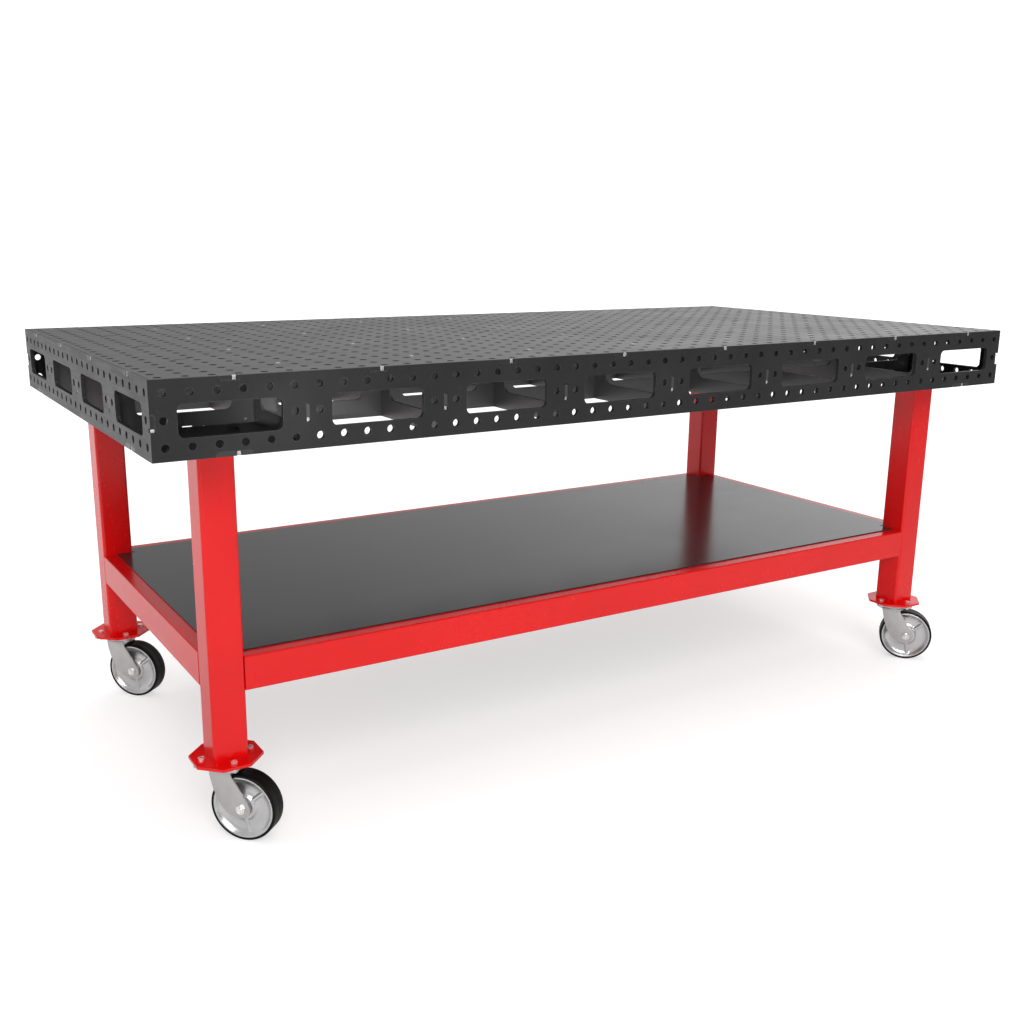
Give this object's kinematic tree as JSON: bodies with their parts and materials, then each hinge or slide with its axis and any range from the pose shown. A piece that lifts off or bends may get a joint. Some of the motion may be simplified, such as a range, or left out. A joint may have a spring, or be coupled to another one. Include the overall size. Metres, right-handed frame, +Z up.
{
  "type": "welding table",
  "caption": "Perforated steel fixture table on square tube legs with swivel casters, windowed side skirts, an egg-crate of ribs and a lower shelf.",
  "frame": {"origin": "on the floor under the middle of the table top", "axes": "+X along the length of the table, +Y from the front skirt to the back skirt, +Z up"},
  "size_m": [2.4384, 1.2192, 1.016],
  "materials": {
    "bare_steel": "dark blackened steel, satin",
    "rib_steel": "dark blackened steel, satin",
    "red_coat": "glossy powder coat",
    "shelf_sheet": "near-black sheet, satin gloss",
    "zinc_steel": "bright zinc plate",
    "bolt_steel": "zinc plated fasteners",
    "black_oxide": "black oxide fasteners",
    "cast_core": "silver painted casting",
    "tyre_rubber": "smooth black tread",
    "weld_metal": "bright weld beads"
  },
  "bodies": {
    "table": {"top_plate": "bare_steel", "skirt_front": "bare_steel", "skirt_back": "bare_steel", "skirt_left": "bare_steel", "skirt_right": "bare_steel", "rib_long_1": "rib_steel", "rib_long_2": "rib_steel", "rib_long_3": "rib_steel", "rib_cross_1": "rib_steel", "rib_cross_2": "rib_steel", "rib_cross_3": "rib_steel", "rib_cross_4": "rib_steel", "rib_cross_5": "rib_steel", "rib_cross_6": "rib_steel", "rib_cross_7": "rib_steel", "corner_plate_fl": "rib_steel", "leg_tube_fl": "red_coat", "leg_foot_plate_fl": "red_coat", "caster_plate_fl": "zinc_steel", "corner_plate_fr": "rib_steel", "leg_tube_fr": "red_coat", "leg_foot_plate_fr": "red_coat", "caster_plate_fr": "zinc_steel", "corner_plate_bl": "rib_steel", "leg_tube_bl": "red_coat", "leg_foot_plate_bl": "red_coat", "caster_plate_bl": "zinc_steel", "corner_plate_br": "rib_steel", "leg_tube_br": "red_coat", "leg_foot_plate_br": "red_coat", "caster_plate_br": "zinc_steel", "leg_top_flanges": "red_coat", "caster_kingpins": "bolt_steel", "rail_front": "red_coat", "rail_back": "red_coat", "rail_left": "red_coat", "rail_right": "red_coat", "shelf_panel": "shelf_sheet", "foot_bolts": "bolt_steel", "foot_nuts": "bolt_steel", "flange_bolts": "black_oxide", "tack_welds": "weld_metal"},
    "swivel_fl": {"caster_fork_fl": "zinc_steel", "caster_axle_fl": "bolt_steel"},
    "wheel_fl": {"wheel_core_fl": "cast_core", "wheel_tyre_fl": "tyre_rubber"},
    "swivel_fr": {"caster_fork_fr": "zinc_steel", "caster_axle_fr": "bolt_steel"},
    "wheel_fr": {"wheel_core_fr": "cast_core", "wheel_tyre_fr": "tyre_rubber"},
    "swivel_bl": {"caster_fork_bl": "zinc_steel", "caster_axle_bl": "bolt_steel"},
    "wheel_bl": {"wheel_core_bl": "cast_core", "wheel_tyre_bl": "tyre_rubber"},
    "swivel_br": {"caster_fork_br": "zinc_steel", "caster_axle_br": "bolt_steel"},
    "wheel_br": {"wheel_core_br": "cast_core", "wheel_tyre_br": "tyre_rubber"}
  },
  "joints": [
    {"name": "caster_swivel_fl", "type": "hinge", "parent": "table", "child": "swivel_fl", "pos_m": [-1.06363, -0.45403, 0.1685], "axis": [0, 0, 1], "continuous": true},
    {"name": "wheel_roll_fl", "type": "hinge", "parent": "swivel_fl", "child": "wheel_fl", "pos_m": [-1.03328, -0.48725, 0.0762], "axis": [0.7385, 0.6743, 0], "continuous": true},
    {"name": "caster_swivel_fr", "type": "hinge", "parent": "table", "child": "swivel_fr", "pos_m": [1.06363, -0.45403, 0.1685], "axis": [0, 0, 1], "continuous": true},
    {"name": "wheel_roll_fr", "type": "hinge", "parent": "swivel_fr", "child": "wheel_fr", "pos_m": [1.09397, -0.48725, 0.0762], "axis": [0.7385, 0.6743, 0], "continuous": true},
    {"name": "caster_swivel_bl", "type": "hinge", "parent": "table", "child": "swivel_bl", "pos_m": [-1.06363, 0.45403, 0.1685], "axis": [0, 0, 1], "continuous": true},
    {"name": "wheel_roll_bl", "type": "hinge", "parent": "swivel_bl", "child": "wheel_bl", "pos_m": [-1.03328, 0.42079, 0.0762], "axis": [0.7385, 0.6743, 0], "continuous": true},
    {"name": "caster_swivel_br", "type": "hinge", "parent": "table", "child": "swivel_br", "pos_m": [1.06363, 0.45403, 0.1685], "axis": [0, 0, 1], "continuous": true},
    {"name": "wheel_roll_br", "type": "hinge", "parent": "swivel_br", "child": "wheel_br", "pos_m": [1.09397, 0.42079, 0.0762], "axis": [0.7385, 0.6743, 0], "continuous": true}
  ]
}
